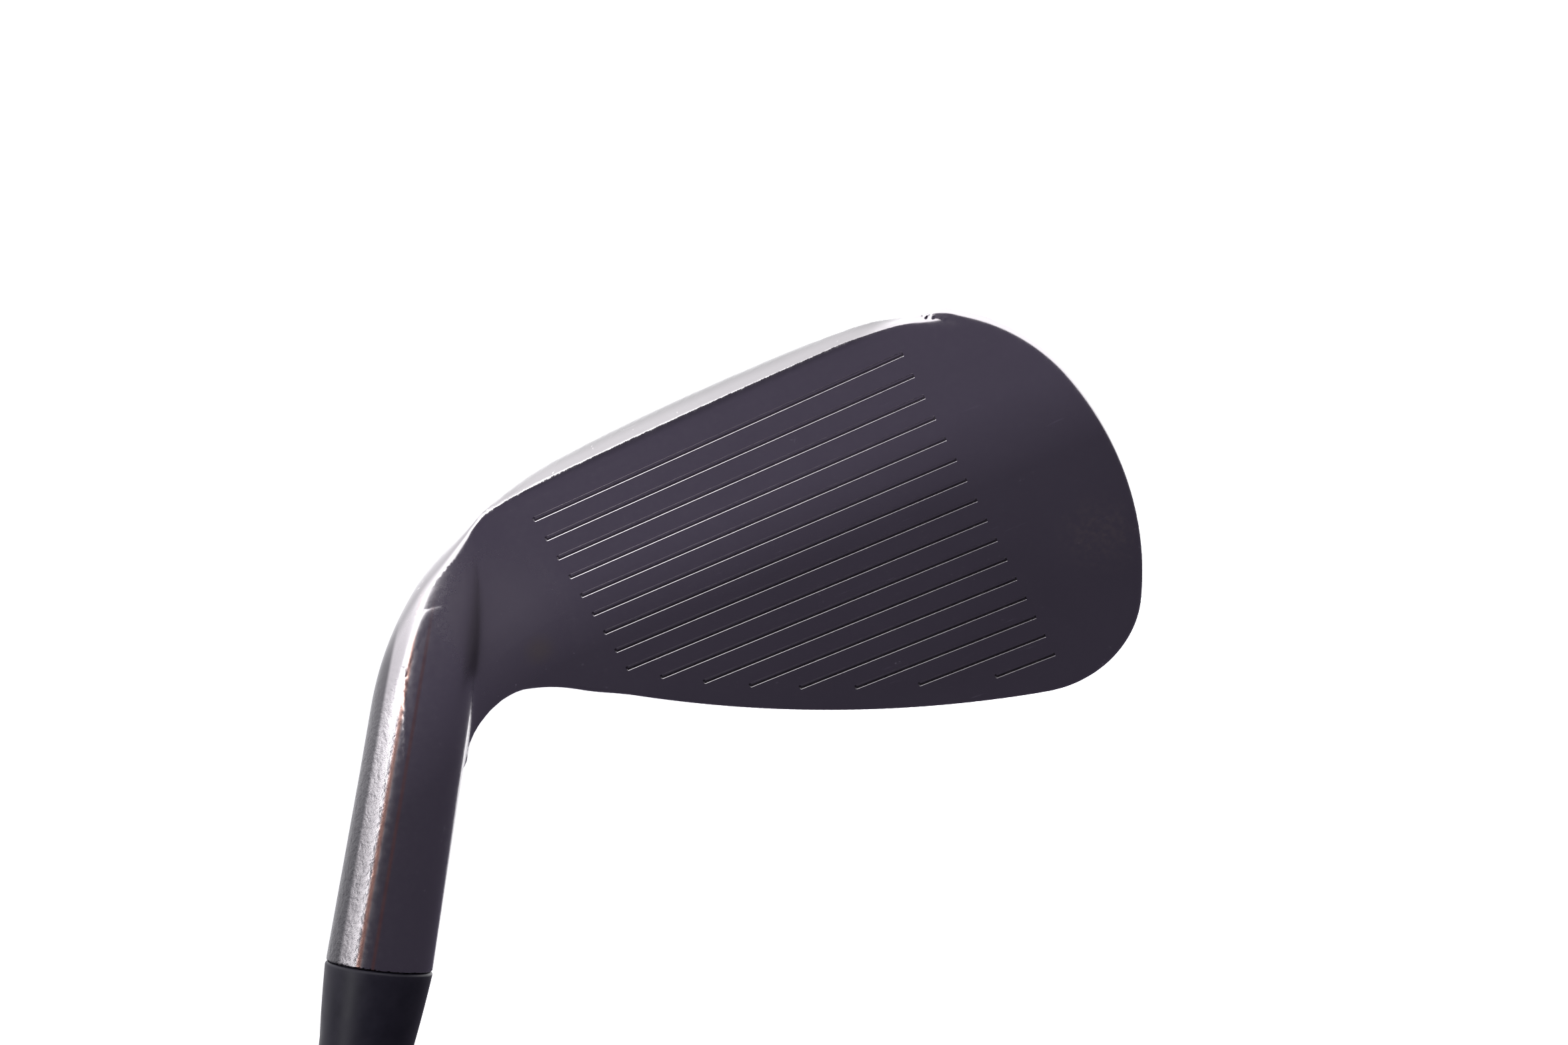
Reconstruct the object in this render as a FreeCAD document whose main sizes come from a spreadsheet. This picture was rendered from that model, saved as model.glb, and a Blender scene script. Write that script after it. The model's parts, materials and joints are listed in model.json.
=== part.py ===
"""A right-handed number nine iron, standing at address on its sole.

World frame, millimetres: the origin is where the sole touches the ground under the middle of the face,
+X points to the heel and the golfer, -Y to the target and +Z up.
Two working frames are used. The face frame has x to the heel, y up the face and z out of the face, with
its origin where the flat of the face meets the rounded leading edge. The shaft frame has z up the shaft
axis, with its origin where that axis meets the ground.
"""

import FreeCAD
import Part
import Sketcher
import math
import os

from FreeCAD import Placement, Rotation, Vector

doc = FreeCAD.newDocument("iron_golf_club")

SIZES = {
    # the pose of the club
    "loft": 40.6,
    "lie": 63.6,
    "axis_toe_gap": 37.7,  # from the origin to the shaft axis at ground level
    "axis_setback": 5.3,  # how far the shaft axis stands in front of the origin
    # the sole and the leading edge, in section
    "sole_radius": 32.0,
    "edge_radius": 2.1,
    "edge_lead": 7.5,  # from the ground contact forward to the centre of the edge rounding
    "sole_back_y": 10.7,
    "sole_back_z": -16.6,
    "muscle_top_y": 24.0,
    "muscle_top_z": -9.0,
    "rim_foot_y": 27.5,
    "rim_depth": 6.4,
    # the outline of the face
    "toe_low_radius": 18.0,
    "toe_side_radius": 48.0,
    "toe_side_x": 2.3,
    "toe_side_y": 27.5,
    "toe_top_radius": 14.9,
    "topline_radius": 153.0,
    "topline_x": -58.5,
    "topline_y": -92.4,
    "topline_round": 0.9,
    "heel_top_x": 32.2,
    "heel_x": 38.0,
    "heel_y": 15.0,
    "heel_taper_x": 22.0,
    "heel_depth": 7.5,
    "heel_relief": 1.2,  # how far the blade's front falls back past the flat of the face
    "heel_curve_radius": 28.0,
    "heel_curve_gap": 0.5,  # from the hosel to the line that the heel's curve runs up into
    # the grooves
    "groove_pitch": 3.15,
    "groove_span": 54.3,
    "groove_first_y": 4.28,
    "groove_width": 0.76,
    "groove_depth": 0.45,
    "groove_margin": 3.2,  # from the topline to the clipped ends
    # the cavity and what lies in it
    "face_thickness": 3.0,
    "cavity_wall": 5.0,
    "cavity_foot_y": 19.5,
    "cavity_corner": 5.0,
    "cavity_heel_x": 28.5,
    "cavity_shoulder_x": 23.5,
    "cavity_shoulder_y": 26.5,
    "tape_thickness": 0.3,
    "tape_gap": 1.6,
    "badge_thickness": 1.2,
    "badge_gap": 0.4,
    "plug_x": -25.0,
    "plug_y": 15.0,
    "plug_radius": 3.6,
    "plug_inner_z": -8.0,
    # the hosel, with heights measured along the shaft axis from the ground
    "hosel_top": 62.0,
    "hosel_top_radius": 6.85,
    "hosel_low": 38.0,
    "hosel_low_radius": 6.62,
    "hosel_foot": -6.0,
    "bore_depth": 35.0,
    "bore_radius": 4.82,
    "web_foot": 10.0,
    "web_top": 31.0,
    "web_front": 3.0,
    "web_back": 6.0,
    # the ferrule
    "ferrule_length": 24.0,
    "ferrule_waist": 9.5,
    "ferrule_radius": 6.9,
    "ferrule_waist_radius": 6.0,
    "ferrule_tip_radius": 4.98,
    # the shaft
    "shaft_tip_radius": 4.7,
    "shaft_butt_radius": 7.62,
    "shaft_tip_bore": 3.95,
    "shaft_butt_bore": 7.27,
    "tip_parallel": 240.0,
    "step_pitch": 34.0,
    "step_run": 1.2,
    "plug_flange": 1.0,
    "plug_length": 22.0,
    # the grip end
    "club_length": 908.5,
    "grip_length": 267.0,
    "grip_mouth_radius": 9.6,
    "grip_butt_radius": 13.2,
    "grip_tape_thickness": 0.25,
    "cap_thickness": 4.0,
    "cap_radius": 14.9,
    "cap_round": 1.4,
    "vent_radius": 1.6,
    "band_length": 22.0,
    "band_gap": 4.0,
    "band_thickness": 0.1,
}
GROOVES = 16
SHAFT_STEPS = 11
BEYOND = 70.0  # farther from the face frame's origin than any of the head's metal

sheet = doc.addObject("Spreadsheet::Sheet", "Sizes")
for row, (alias, number) in enumerate(SIZES.items(), 1):
    sheet.set(f"A{row}", alias)
    sheet.set(f"B{row}", str(number))
    sheet.setAlias(f"B{row}", alias)
doc.recompute()

# places that follow from the driving sizes, as expressions
S = {alias: f"Sizes.{alias}" for alias in SIZES}
EDGE_CENTRE_Z = (
    f"({S['sole_radius']} - sqrt(({S['sole_radius']} - {S['edge_radius']})^2 - {S['edge_lead']}^2))"
)
FACE_Y = f"(-{S['edge_lead']} - {S['edge_radius']} * cos({S['loft']}))"
FACE_Z = f"({EDGE_CENTRE_Z} + {S['edge_radius']} * sin({S['loft']}))"
SOLE_CENTRE_Y = f"(-{FACE_Y} * sin({S['loft']}) + ({S['sole_radius']} - {FACE_Z}) * cos({S['loft']}))"
SOLE_CENTRE_Z = f"({FACE_Y} * cos({S['loft']}) + ({S['sole_radius']} - {FACE_Z}) * sin({S['loft']}))"
BORE_FOOT = f"({S['hosel_top']} - {S['bore_depth']})"
SHAFT_FOOT = f"({BORE_FOOT} + {S['plug_flange']})"
SHAFT_END = f"({S['club_length']} - {S['cap_thickness']})"
GRIP_MOUTH = f"({S['club_length']} - {S['grip_length']})"
TAPE_RADIUS = f"({S['shaft_butt_radius']} + {S['grip_tape_thickness']})"


def value(expression):
    """The number that an expression on the sheet comes to."""
    return float(sheet.evalExpression(str(expression)))


def place_in_face_frame(thing):
    thing.Placement = Placement(Vector(0, value(FACE_Y), value(FACE_Z)), Rotation(Vector(1, 0, 0), 1))
    thing.setExpression("Placement.Base.y", f"{FACE_Y} * 1 mm")
    thing.setExpression("Placement.Base.z", f"{FACE_Z} * 1 mm")
    thing.setExpression("Placement.Rotation.Angle", f"(90 - {S['loft']}) * 1 deg")


def place_in_shaft_frame(thing):
    thing.Placement = Placement(Vector(1, -1, 0), Rotation(Vector(0, 1, 0), 1))
    thing.setExpression("Placement.Base.x", f"{S['axis_toe_gap']} * 1 mm")
    thing.setExpression("Placement.Base.y", f"-{S['axis_setback']} * 1 mm")
    thing.setExpression("Placement.Rotation.Angle", f"(90 - {S['lie']}) * 1 deg")


def new_body(label, place):
    body = doc.addObject("PartDesign::Body", label)
    body.Label = label
    place(body)
    return body


def new_sketch(body, name, plane, offset=None):
    """A sketch on one of the body's own origin planes, moved along that plane's normal by offset."""
    sketch = body.newObject("Sketcher::SketchObject", name)
    sketch.AttachmentSupport = [(f, "") for f in body.Origin.OriginFeatures if f.Role == plane]
    sketch.MapMode = "FlatFace"
    if offset:
        sketch.AttachmentOffset = Placement(Vector(0, 0, value(offset)), Rotation())
        sketch.setExpression("AttachmentOffset.Base.z", f"({offset}) * 1 mm")
    return sketch


def bind(sketch, kind, *where, to):
    """A dimension whose number comes from the sheet."""
    index = sketch.addConstraint(Sketcher.Constraint(kind, *where, value(to)))
    sketch.setExpression(f"Constraints[{index}]", str(to))


def fix_point(sketch, item, end, x, y):
    bind(sketch, "DistanceX", -1, 1, item, end, to=x)
    bind(sketch, "DistanceY", -1, 1, item, end, to=y)


def join(sketch, item, end, other, other_end, kind="Coincident"):
    sketch.addConstraint(Sketcher.Constraint(kind, item, end, other, other_end))


def add_line(sketch, start, end):
    return sketch.addGeometry(Part.LineSegment(Vector(*start, 0), Vector(*end, 0)), False)


def add_arc(sketch, centre, radius, first, last):
    """An arc that runs anticlockwise between two angles in degrees."""
    circle = Part.Circle(Vector(*centre, 0), Vector(0, 0, 1), radius)
    arc = Part.ArcOfCircle(circle, math.radians(first), math.radians(last))
    return sketch.addGeometry(arc, False)


def polygon(sketch, corners):
    """A closed outline of straight lines through corners, each a pair of expressions."""
    points = [(value(x), value(y)) for x, y in corners]
    lines = [add_line(sketch, a, b) for a, b in zip(points, points[1:] + points[:1])]
    for line, following in zip(lines, lines[1:] + lines[:1]):
        join(sketch, line, 2, following, 1)
    for line, (x, y) in zip(lines, corners):
        fix_point(sketch, line, 1, x, y)


def pad(body, sketch, length):
    """Material from the sketch towards the back of the head."""
    feature = body.newObject("PartDesign::Pad", sketch.Name + "_pad")
    feature.Profile = sketch
    feature.Length = value(length)
    feature.setExpression("Length", f"({length}) * 1 mm")
    feature.Reversed = True
    doc.recompute()
    return feature


def pocket(body, sketch, both_ways=True):
    """Cuts the sketch right through the body, and makes sure that something was taken."""
    before = body.Shape.Volume
    feature = body.newObject("PartDesign::Pocket", sketch.Name + "_cut")
    feature.Profile = sketch
    feature.Type = "ThroughAll"
    feature.Midplane = both_ways
    doc.recompute()
    if not body.Shape.Volume < before - 1:
        raise RuntimeError(f"{feature.Name} took nothing away")
    return feature


def turned(label, corners):
    """A body of revolution about the shaft axis, from corners of radius and height."""
    body = new_body(label, place_in_shaft_frame)
    sketch = new_sketch(body, label + "_profile", "XZ_Plane")
    polygon(sketch, corners)
    feature = body.newObject("PartDesign::Revolution", label + "_turned")
    feature.Profile = sketch
    feature.ReferenceAxis = (sketch, ["V_Axis"])
    feature.Angle = 360
    doc.recompute()
    return body


def head_profile(sketch, inset, foot, corner, top_x, heel):
    """The head's outline drawn in by inset: foot, low toe corner, toe side, toe top, topline and heel."""
    side_radius = f"({S['toe_side_radius']} - {inset})"
    top_radius = f"({S['toe_top_radius']} - {inset})"
    line_radius = f"({S['topline_radius']} - {inset})"
    side_x, side_y = value(S["toe_side_x"]), value(S["toe_side_y"])
    line_x, line_y = value(S["topline_x"]), value(S["topline_y"])
    low_y = value(foot) + value(corner)
    reach = value(side_radius) - value(corner)
    low_x = side_x - (reach**2 - (side_y - low_y) ** 2) ** 0.5
    end_y = line_y + (value(line_radius) ** 2 - (value(top_x) - line_x) ** 2) ** 0.5
    heel_points = [(value(x), value(y)) for x, y in heel]

    bottom = add_line(sketch, heel_points[-1], (low_x, value(foot)))
    low = add_arc(sketch, (low_x, low_y), value(corner), 200, 270)
    side = add_arc(sketch, (side_x, side_y), value(side_radius), 155, 200)
    top = add_arc(sketch, (-27.4, 42.0), value(top_radius), 78, 155)
    line = add_arc(sketch, (line_x, line_y), value(line_radius), 52, 78)
    shoulder = add_line(sketch, (value(top_x), end_y), heel_points[0])
    end = add_line(sketch, heel_points[0], heel_points[-1])

    join(sketch, bottom, 2, low, 2, "Tangent")
    join(sketch, low, 1, side, 2, "Tangent")
    join(sketch, side, 1, top, 2, "Tangent")
    join(sketch, top, 1, line, 2, "Tangent")
    join(sketch, line, 1, shoulder, 1)
    join(sketch, shoulder, 2, end, 1)
    join(sketch, end, 2, bottom, 1)
    sketch.addConstraint(Sketcher.Constraint("Horizontal", bottom))
    bind(sketch, "Radius", low, to=corner)
    bind(sketch, "Radius", side, to=side_radius)
    bind(sketch, "Radius", top, to=top_radius)
    bind(sketch, "Radius", line, to=line_radius)
    fix_point(sketch, side, 3, S["toe_side_x"], S["toe_side_y"])
    fix_point(sketch, line, 3, S["topline_x"], S["topline_y"])
    bind(sketch, "DistanceX", -1, 1, line, 1, to=top_x)
    fix_point(sketch, shoulder, 2, *heel[0])
    fix_point(sketch, end, 2, *heel[-1])


def make_blade():
    """The face, rim, sole and muscle of the head, without the hosel."""
    body = new_body("blade", place_in_face_frame)
    outline = new_sketch(body, "blade_outline", "XY_Plane")
    heel = [(S["heel_x"], S["heel_y"]), (S["heel_x"], f"-{S['edge_radius']}")]
    head_profile(outline, "0", f"-{S['edge_radius']}", S["toe_low_radius"], S["heel_top_x"], heel)
    pad(body, outline, BEYOND)

    back = new_sketch(body, "back_profile", "YZ_Plane")
    polygon(
        back,
        [
            (BEYOND, f"-{S['rim_depth']}"),
            (S["rim_foot_y"], f"-{S['rim_depth']}"),
            (S["muscle_top_y"], S["muscle_top_z"]),
            (S["sole_back_y"], S["sole_back_z"]),
            (f"{S['sole_back_y']} - 14", f"{S['sole_back_z']} - 8"),
            (f"{S['sole_back_y']} - 14", -BEYOND),
            (BEYOND, -BEYOND),
        ],
    )
    pocket(body, back)

    sole = new_sketch(body, "sole_profile", "YZ_Plane")
    under_sole(sole)
    pocket(body, sole)

    taper = new_sketch(body, "heel_taper", "XZ_Plane")
    polygon(
        taper,
        [
            (S["heel_taper_x"], S["sole_back_z"]),
            (S["heel_x"], f"-{S['heel_depth']}"),
            (BEYOND, f"-{S['heel_depth']}"),
            (BEYOND, -BEYOND),
            (S["heel_taper_x"], -BEYOND),
        ],
    )
    pocket(body, taper)

    relief = new_sketch(body, "heel_relief", "XZ_Plane")
    polygon(
        relief,
        [
            (S["heel_top_x"], "0"),
            (S["heel_x"], f"-{S['heel_relief']}"),
            (f"{S['heel_x']} + 5", f"-{S['heel_relief']}"),
            (f"{S['heel_x']} + 5", "5"),
            (S["heel_top_x"], "5"),
        ],
    )
    pocket(body, relief)

    cavity = new_sketch(body, "cavity", "XY_Plane", f"-{S['face_thickness']}")
    cavity_profile(cavity, S["cavity_wall"])
    pocket(body, cavity, both_ways=False)
    return body


def under_sole(sketch):
    """The region below the sole, in section: the round sole on one side and straight lines far from it."""
    front_z, back_z = 2.0, -20.0
    centre = (value(SOLE_CENTRE_Y), value(SOLE_CENTRE_Z))
    radius = value(S["sole_radius"])
    front_y = centre[0] - math.sqrt(radius**2 - (front_z - centre[1]) ** 2)
    back_y = centre[0] - math.sqrt(radius**2 - (back_z - centre[1]) ** 2)
    front_angle = math.degrees(math.atan2(front_z - centre[1], front_y - centre[0])) % 360
    back_angle = math.degrees(math.atan2(back_z - centre[1], back_y - centre[0])) % 360
    arc = add_arc(sketch, centre, radius, front_angle, back_angle)
    corners = [
        (back_y, back_z),
        (back_y, -BEYOND),
        (-BEYOND, -BEYOND),
        (-BEYOND, front_z),
        (front_y, front_z),
    ]
    lines = [add_line(sketch, a, b) for a, b in zip(corners, corners[1:])]
    join(sketch, arc, 2, lines[0], 1)
    for line, following in zip(lines, lines[1:]):
        join(sketch, line, 2, following, 1)
    join(sketch, lines[-1], 2, arc, 1)
    fix_point(sketch, arc, 3, SOLE_CENTRE_Y, SOLE_CENTRE_Z)
    bind(sketch, "Radius", arc, to=S["sole_radius"])
    sketch.addConstraint(Sketcher.Constraint("Vertical", lines[0]))
    sketch.addConstraint(Sketcher.Constraint("Horizontal", lines[3]))
    bind(sketch, "DistanceY", -1, 1, lines[0], 1, to=back_z)
    fix_point(sketch, lines[2], 1, -BEYOND, -BEYOND)
    fix_point(sketch, lines[2], 2, -BEYOND, front_z)


def cavity_profile(sketch, inset):
    """The cavity's outline; the badge and its tape follow it with a larger inset."""
    gap = f"({inset} - {S['cavity_wall']})"
    heel_x = f"({S['cavity_heel_x']} - {gap})"
    foot = f"({S['cavity_foot_y']} + {gap})"
    heel = [(heel_x, f"({S['cavity_shoulder_y']} - 0.5 * {gap})"), (heel_x, foot)]
    top_x = f"({S['cavity_shoulder_x']} - {gap})"
    head_profile(sketch, inset, foot, f"({S['cavity_corner']} - 0.5 * {gap})", top_x, heel)


def make_plate(label, inset, gap_behind_face, thickness):
    """A thin plate on the cavity's floor."""
    body = new_body(label, place_in_face_frame)
    sketch = new_sketch(body, label + "_outline", "XY_Plane", f"-({gap_behind_face})")
    cavity_profile(sketch, inset)
    pad(body, sketch, thickness)
    return body


def make_grooves():
    """The scored lines as solids to cut away: straight slots with round ends, clipped beside the topline."""
    body = new_body("groove_tools", place_in_face_frame)
    sketch = new_sketch(body, "groove_lines", "XY_Plane", f"-{S['groove_depth']}")
    half_width = f"(0.5 * {S['groove_width']})"
    half_span = f"(0.5 * {S['groove_span']} - {half_width})"
    for number in range(GROOVES):
        y = f"({S['groove_first_y']} + {number} * {S['groove_pitch']})"
        reach = f"({S['topline_radius']} - {S['groove_margin']} - {half_width})"
        clipped = f"({S['topline_x']} + sqrt({reach}^2 - ({y} - {S['topline_y']})^2))"
        toe, heel = f"(-{half_span})", f"min({half_span}; {clipped})"
        width, centre_y = value(half_width), value(y)
        toe_end = add_arc(sketch, (value(toe), centre_y), width, 90, 270)
        heel_end = add_arc(sketch, (value(heel), centre_y), width, -90, 90)
        lower = add_line(sketch, (value(toe), centre_y - width), (value(heel), centre_y - width))
        upper = add_line(sketch, (value(heel), centre_y + width), (value(toe), centre_y + width))
        join(sketch, toe_end, 2, lower, 1, "Tangent")
        join(sketch, lower, 2, heel_end, 1, "Tangent")
        join(sketch, heel_end, 2, upper, 1, "Tangent")
        join(sketch, upper, 2, toe_end, 1, "Tangent")
        sketch.addConstraint(Sketcher.Constraint("Equal", toe_end, heel_end))
        sketch.addConstraint(Sketcher.Constraint("Horizontal", lower))
        bind(sketch, "Radius", toe_end, to=half_width)
        fix_point(sketch, toe_end, 3, toe, y)
        bind(sketch, "DistanceX", -1, 1, heel_end, 3, to=heel)
    feature = body.newObject("PartDesign::Pad", "groove_lines_pad")
    feature.Profile = sketch
    feature.Length = 2
    doc.recompute()
    return body


def make_rod(label, x, y, radius, inner_z, length):
    """A round rod along the normal of the face, running to the back from inner_z."""
    body = new_body(label, place_in_face_frame)
    sketch = new_sketch(body, label + "_circle", "XY_Plane", inner_z)
    circle = Part.Circle(Vector(value(x), value(y), 0), Vector(0, 0, 1), value(radius))
    item = sketch.addGeometry(circle, False)
    fix_point(sketch, item, 3, x, y)
    bind(sketch, "Radius", item, to=radius)
    pad(body, sketch, length)
    return body


def boolean(kind, label, things):
    """The common part or the union of things, or the first with the second cut away."""
    feature = doc.addObject(f"Part::{kind}", label)
    if kind == "Cut":
        feature.Base, feature.Tool = things
    else:
        feature.Shapes = things
    doc.recompute()
    return feature


def rounded(label, base, rounds):
    """Rounds the base's edges: rounds holds pairs of a test on an edge and a radius."""
    feature = doc.addObject("Part::Fillet", label)
    feature.Base = base
    chosen = []
    for number, edge in enumerate(base.Shape.Edges, 1):
        for test, radius in rounds:
            if test(edge):
                chosen.append((number, radius, radius))
                break
    if not chosen:
        raise RuntimeError(f"{label} found no edges")
    feature.Edges = chosen
    doc.recompute()
    return feature


def in_face_frame(point):
    """A world point in the face frame."""
    frame = Placement(
        Vector(0, value(FACE_Y), value(FACE_Z)), Rotation(Vector(1, 0, 0), 90 - SIZES["loft"])
    )
    return frame.inverse().multVec(point)


def middle(edge):
    return in_face_frame(edge.valueAt(0.5 * (edge.FirstParameter + edge.LastParameter)))


def on_leading_edge(edge):
    """The front outline's bottom line and low toe corner."""
    spot = middle(edge)
    return abs(spot.z) < 0.01 and edge.Length > 5 and spot.y < 12 and -45.6 < spot.x < 30


def on_front_rim(edge):
    """The rest of the front outline, round the toe and along the topline."""
    spot = middle(edge)
    return abs(spot.z) < 0.01 and edge.Length > 5 and spot.y >= 12 and spot.x < 30


def make_web():
    """The neck that joins the top of the blade to the hosel in front of it."""
    body = doc.addObject("PartDesign::Body", "web")
    near = new_sketch(body, "web_at_blade", "YZ_Plane", S["heel_top_x"])
    rise, run = f"cos({S['loft']})", f"sin({S['loft']})"

    def seen_from_world(y, z):
        """Face-frame height and depth as world Y and Z."""
        return (f"{FACE_Y} + {y} * {run} - {z} * {rise}", f"{FACE_Z} + {y} * {rise} + {z} * {run}")

    top = f"({S['topline_y']} + sqrt({S['topline_radius']}^2 - ({S['heel_top_x']} - {S['topline_x']})^2) - 0.6)"
    polygon(
        near,
        [
            seen_from_world("1.0", "0"),
            seen_from_world("10.0", "-12.0"),
            seen_from_world(top, f"(-{S['rim_depth']})"),
            seen_from_world(top, "0"),
        ],
    )
    far = new_sketch(body, "web_at_hosel", "YZ_Plane")
    far.AttachmentOffset = Placement(Vector(0, 0, 1), Rotation(Vector(1, 0, 0), 1))
    far.setExpression("AttachmentOffset.Base.z", f"{S['axis_toe_gap']} * 1 mm")
    far.setExpression("AttachmentOffset.Rotation.Angle", f"(90 - {S['lie']}) * 1 deg")
    front = f"(-{S['axis_setback']} - {S['web_front']})"
    back = f"(-{S['axis_setback']} + {S['web_back']})"
    polygon(
        far,
        [(front, S["web_foot"]), (back, S["web_foot"]), (back, S["web_top"]), (front, S["web_top"])],
    )
    loft = body.newObject("PartDesign::AdditiveLoft", "web_loft")
    loft.Profile = near
    loft.Sections = [far]
    loft.Ruled = True
    doc.recompute()
    return body


def make_heel_envelope():
    """The space above the ground and the heel's curve, which rises from the sole into the hosel's side."""
    body = doc.addObject("PartDesign::Body", "heel_envelope")
    sketch = new_sketch(body, "heel_curve", "XZ_Plane")
    lie = math.radians(SIZES["lie"])
    radius = SIZES["heel_curve_radius"]
    side = SIZES["hosel_low_radius"] + SIZES["heel_curve_gap"]
    corner_x = SIZES["axis_toe_gap"] + side / math.sin(lie)
    tangent = radius * math.tan(lie / 2)
    rise = tangent * math.sin(lie)
    start = (corner_x - tangent, 0)
    end = (corner_x + tangent * math.cos(lie), rise)
    height = 2 * BEYOND
    far = (end[0] + (height - rise) / math.tan(lie), height)

    ground = add_line(sketch, (-BEYOND, 0), start)
    curve = add_arc(sketch, (start[0], radius), radius, 270, 270 + SIZES["lie"])
    side_line = add_line(sketch, end, far)
    top = add_line(sketch, far, (-BEYOND, height))
    toe = add_line(sketch, (-BEYOND, height), (-BEYOND, 0))
    join(sketch, ground, 2, curve, 1, "Tangent")
    join(sketch, curve, 2, side_line, 1, "Tangent")
    join(sketch, side_line, 2, top, 1)
    join(sketch, top, 2, toe, 1)
    join(sketch, toe, 2, ground, 1)
    fix_point(sketch, ground, 1, -BEYOND, "0")
    sketch.addConstraint(Sketcher.Constraint("Horizontal", ground))
    sketch.addConstraint(Sketcher.Constraint("Horizontal", top))
    sketch.addConstraint(Sketcher.Constraint("Vertical", toe))
    bind(sketch, "DistanceY", -1, 1, toe, 1, to=height)
    bind(sketch, "Radius", curve, to=S["heel_curve_radius"])
    corner = f"({S['axis_toe_gap']} + ({S['hosel_low_radius']} + {S['heel_curve_gap']}) / sin({S['lie']}))"
    start_x = f"({corner} - {S['heel_curve_radius']} * tan({S['lie']} / 2))"
    bind(sketch, "DistanceX", -1, 1, curve, 1, to=start_x)
    sweep = f"({start_x} + {S['heel_curve_radius']} * sin({S['lie']}))"
    bind(sketch, "DistanceX", -1, 1, curve, 2, to=sweep)
    feature = body.newObject("PartDesign::Pad", "heel_curve_pad")
    feature.Profile = sketch
    feature.Length = 2 * BEYOND
    feature.Midplane = True
    doc.recompute()
    return body


def make_head():
    """The one-piece head, and the weight that is pressed into its toe and finished flush."""
    blade = make_blade()
    # the leading edge's rounding stays just short of the outline's foot, so a thin land is left under it
    edges = [(on_leading_edge, value(S["edge_radius"]) - 0.1), (on_front_rim, value(S["topline_round"]))]
    blade = rounded("rounded_blade", blade, edges)
    rod = make_rod("plug_rod", S["plug_x"], S["plug_y"], S["plug_radius"], S["plug_inner_z"], BEYOND)
    toe_weight = boolean("MultiCommon", "toe_weight", [blade, rod])
    blade = boolean("Cut", "drilled_blade", [blade, rod])
    hosel = turned(
        "hosel",
        [
            ("0", S["hosel_foot"]),
            (S["hosel_low_radius"], S["hosel_foot"]),
            (S["hosel_low_radius"], S["hosel_low"]),
            (S["hosel_top_radius"], S["hosel_top"]),
            ("0", S["hosel_top"]),
        ],
    )
    rough = boolean("MultiFuse", "rough_head", [blade, make_web(), hosel])
    solid = boolean("MultiCommon", "solid_head", [rough, make_heel_envelope()])
    bore = turned(
        "bore",
        [
            ("0", BORE_FOOT),
            (S["bore_radius"], BORE_FOOT),
            (S["bore_radius"], f"{S['hosel_top']} + 5"),
            ("0", f"{S['hosel_top']} + 5"),
        ],
    )
    bored = boolean("Cut", "bored_head", [solid, bore])
    head = boolean("Cut", "club_head", [bored, make_grooves()])
    return [head, toe_weight]


def make_ferrule_and_bond():
    """The plastic collar on top of the hosel, and the adhesive between the shaft and the bore."""
    foot, tip = S["hosel_top"], S["shaft_tip_radius"]
    waist = f"({foot} + {S['ferrule_waist']})"
    top = f"({foot} + {S['ferrule_length']})"
    ferrule = turned(
        "ferrule",
        [
            (tip, foot),
            (S["ferrule_radius"], foot),
            (S["ferrule_waist_radius"], waist),
            (S["ferrule_tip_radius"], top),
            (tip, top),
        ],
    )
    bond = turned(
        "hosel_epoxy",
        [(tip, SHAFT_FOOT), (S["bore_radius"], SHAFT_FOOT), (S["bore_radius"], foot), (tip, foot)],
    )
    return [ferrule, bond]


def make_shaft():
    """A stepped steel tube: parallel at the tip, then steps up to the butt."""
    first = f"({SHAFT_FOOT} + {S['tip_parallel']})"
    last = f"({first} + {SHAFT_STEPS - 1} * {S['step_pitch']})"
    gain = f"(({S['shaft_butt_radius']} - {S['shaft_tip_radius']}) / {SHAFT_STEPS})"
    corners = [(S["shaft_tip_bore"], SHAFT_FOOT), (S["shaft_tip_radius"], SHAFT_FOOT)]
    for number in range(SHAFT_STEPS):
        foot = f"({first} + {number} * {S['step_pitch']})"
        corners.append((f"({S['shaft_tip_radius']} + {number} * {gain})", foot))
        corners.append(
            (f"({S['shaft_tip_radius']} + {number + 1} * {gain})", f"({foot} + {S['step_run']})")
        )
    corners += [
        (S["shaft_butt_radius"], SHAFT_END),
        (S["shaft_butt_bore"], SHAFT_END),
        (S["shaft_butt_bore"], last),
        (S["shaft_tip_bore"], first),
    ]
    shaft = turned("shaft", corners)
    plug = turned(
        "tip_weight",
        [
            ("0", BORE_FOOT),
            (S["shaft_tip_radius"], BORE_FOOT),
            (S["shaft_tip_radius"], SHAFT_FOOT),
            (S["shaft_tip_bore"], SHAFT_FOOT),
            (S["shaft_tip_bore"], f"({BORE_FOOT} + {S['plug_length']})"),
            ("0", f"({BORE_FOOT} + {S['plug_length']})"),
        ],
    )
    band_top = f"({GRIP_MOUTH} - {S['band_gap']})"
    band_foot = f"({band_top} - {S['band_length']})"
    band_radius = f"({S['shaft_butt_radius']} + {S['band_thickness']})"
    band = turned(
        "shaft_band",
        [
            (S["shaft_butt_radius"], band_foot),
            (band_radius, band_foot),
            (band_radius, band_top),
            (S["shaft_butt_radius"], band_top),
        ],
    )
    return [shaft, plug, band]


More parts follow.
